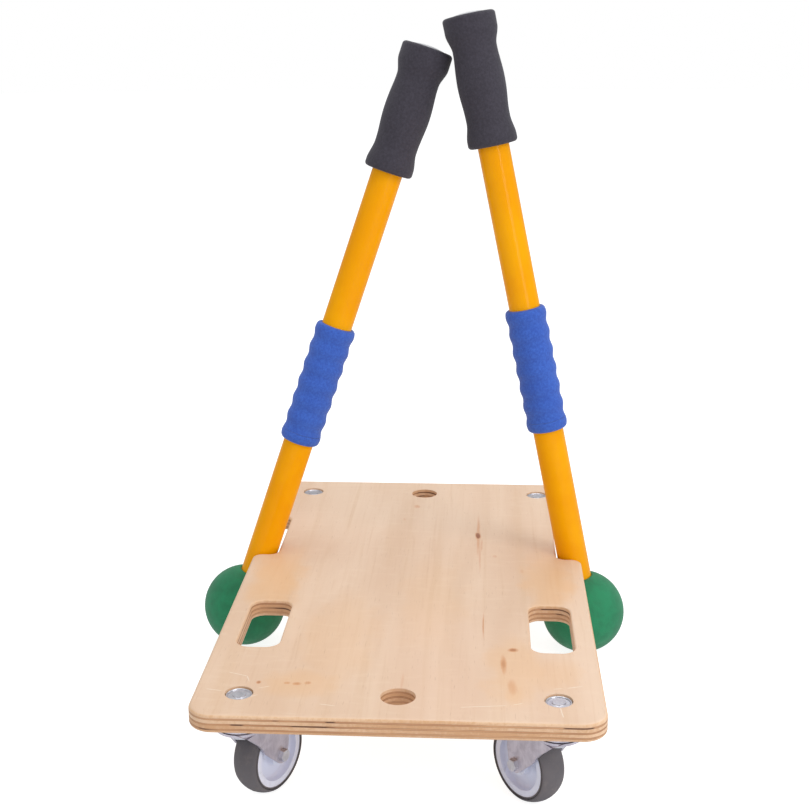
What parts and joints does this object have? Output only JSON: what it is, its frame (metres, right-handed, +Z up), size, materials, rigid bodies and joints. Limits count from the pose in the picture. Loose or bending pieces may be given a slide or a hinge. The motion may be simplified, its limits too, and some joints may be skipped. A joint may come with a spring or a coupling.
{
  "type": "roller board",
  "caption": "Flat plywood roller board on swivel casters with hand slots and side notches, and two ball-footed push paddles leaning in the notches.",
  "frame": {"origin": "on the floor, under the middle of the deck", "axes": "+X to the right, +Y from the end with the hand slots to the end with the side notches, +Z up"},
  "size_m": [0.4577, 0.6, 0.6718],
  "materials": {
    "plywood": "satin",
    "bright_steel": "polished",
    "zinc_steel": "satin",
    "wheel_plastic": "satin",
    "tyre_rubber": "matte",
    "core_plastic": "matte",
    "green_rubber": "satin",
    "orange_coat": "gloss",
    "blue_foam": "matte",
    "black_foam": "matte",
    "cap_plastic": "satin"
  },
  "bodies": {
    "deck": {"deck": "plywood", "deck_bolts": "bright_steel", "lock_nuts": "bright_steel", "swivel_head_front_left": "zinc_steel", "king_pin_front_left": "bright_steel", "swivel_head_front_right": "zinc_steel", "king_pin_front_right": "bright_steel", "swivel_head_rear_left": "zinc_steel", "king_pin_rear_left": "bright_steel", "swivel_head_rear_right": "zinc_steel", "king_pin_rear_right": "bright_steel"},
    "swivel_front_left": {"fork_front_left": "zinc_steel", "bearing_balls_front_left": "bright_steel", "axle_bolt_front_left": "bright_steel", "axle_nut_front_left": "bright_steel", "axle_tube_front_left": "bright_steel"},
    "wheel_front_left": {"wheel_centre_front_left": "wheel_plastic", "tyre_front_left": "tyre_rubber"},
    "swivel_front_right": {"fork_front_right": "zinc_steel", "bearing_balls_front_right": "bright_steel", "axle_bolt_front_right": "bright_steel", "axle_nut_front_right": "bright_steel", "axle_tube_front_right": "bright_steel"},
    "wheel_front_right": {"wheel_centre_front_right": "wheel_plastic", "tyre_front_right": "tyre_rubber"},
    "swivel_rear_left": {"fork_rear_left": "zinc_steel", "bearing_balls_rear_left": "bright_steel", "axle_bolt_rear_left": "bright_steel", "axle_nut_rear_left": "bright_steel", "axle_tube_rear_left": "bright_steel"},
    "wheel_rear_left": {"wheel_centre_rear_left": "wheel_plastic", "tyre_rear_left": "tyre_rubber"},
    "swivel_rear_right": {"fork_rear_right": "zinc_steel", "bearing_balls_rear_right": "bright_steel", "axle_bolt_rear_right": "bright_steel", "axle_nut_rear_right": "bright_steel", "axle_tube_rear_right": "bright_steel"},
    "wheel_rear_right": {"wheel_centre_rear_right": "wheel_plastic", "tyre_rear_right": "tyre_rubber"},
    "paddle_left": {"ball_left": "green_rubber", "ball_plug_left": "core_plastic", "tube_left": "orange_coat", "lower_grip_left": "blue_foam", "upper_grip_left": "black_foam", "end_cap_left": "cap_plastic"},
    "paddle_right": {"ball_right": "green_rubber", "ball_plug_right": "core_plastic", "tube_right": "orange_coat", "lower_grip_right": "blue_foam", "upper_grip_right": "black_foam", "end_cap_right": "cap_plastic"}
  },
  "joints": [
    {"name": "swivel_front_left", "type": "hinge", "parent": "deck", "child": "swivel_front_left", "pos_m": [-0.1355, -0.26, 0.0805], "axis": [0, 0, 1], "continuous": true},
    {"name": "wheel_spin_front_left", "type": "hinge", "parent": "swivel_front_left", "child": "wheel_front_left", "pos_m": [-0.11756, -0.22764, 0.0375], "axis": [-0.8746, 0.4848, 0], "continuous": true},
    {"name": "swivel_front_right", "type": "hinge", "parent": "deck", "child": "swivel_front_right", "pos_m": [0.1355, -0.26, 0.0805], "axis": [0, 0, 1], "continuous": true},
    {"name": "wheel_spin_front_right", "type": "hinge", "parent": "swivel_front_right", "child": "wheel_front_right", "pos_m": [0.11222, -0.23125, 0.0375], "axis": [-0.7771, -0.6293, 0], "continuous": true},
    {"name": "swivel_rear_left", "type": "hinge", "parent": "deck", "child": "swivel_rear_left", "pos_m": [-0.1355, 0.26, 0.0805], "axis": [0, 0, 1], "continuous": true},
    {"name": "wheel_spin_rear_left", "type": "hinge", "parent": "swivel_rear_left", "child": "wheel_rear_left", "pos_m": [-0.12592, 0.22426, 0.0375], "axis": [0.9659, 0.2588, 0], "continuous": true},
    {"name": "swivel_rear_right", "type": "hinge", "parent": "deck", "child": "swivel_rear_right", "pos_m": [0.1355, 0.26, 0.0805], "axis": [0, 0, 1], "continuous": true},
    {"name": "wheel_spin_rear_right", "type": "hinge", "parent": "swivel_rear_right", "child": "wheel_rear_right", "pos_m": [0.12164, 0.22569, 0.0375], "axis": [0.9272, -0.3746, 0], "continuous": true},
    {"name": "paddle_tip_left", "type": "hinge", "parent": "deck", "child": "paddle_left", "pos_m": [-0.18927, 0.06914, 0.044], "axis": [0, -1, 0], "range_deg": [0, 109.6]},
    {"name": "paddle_tip_right", "type": "hinge", "parent": "deck", "child": "paddle_right", "pos_m": [0.18038, 0.07069, 0.044], "axis": [0, 1, 0], "range_deg": [0, 102.8]}
  ]
}
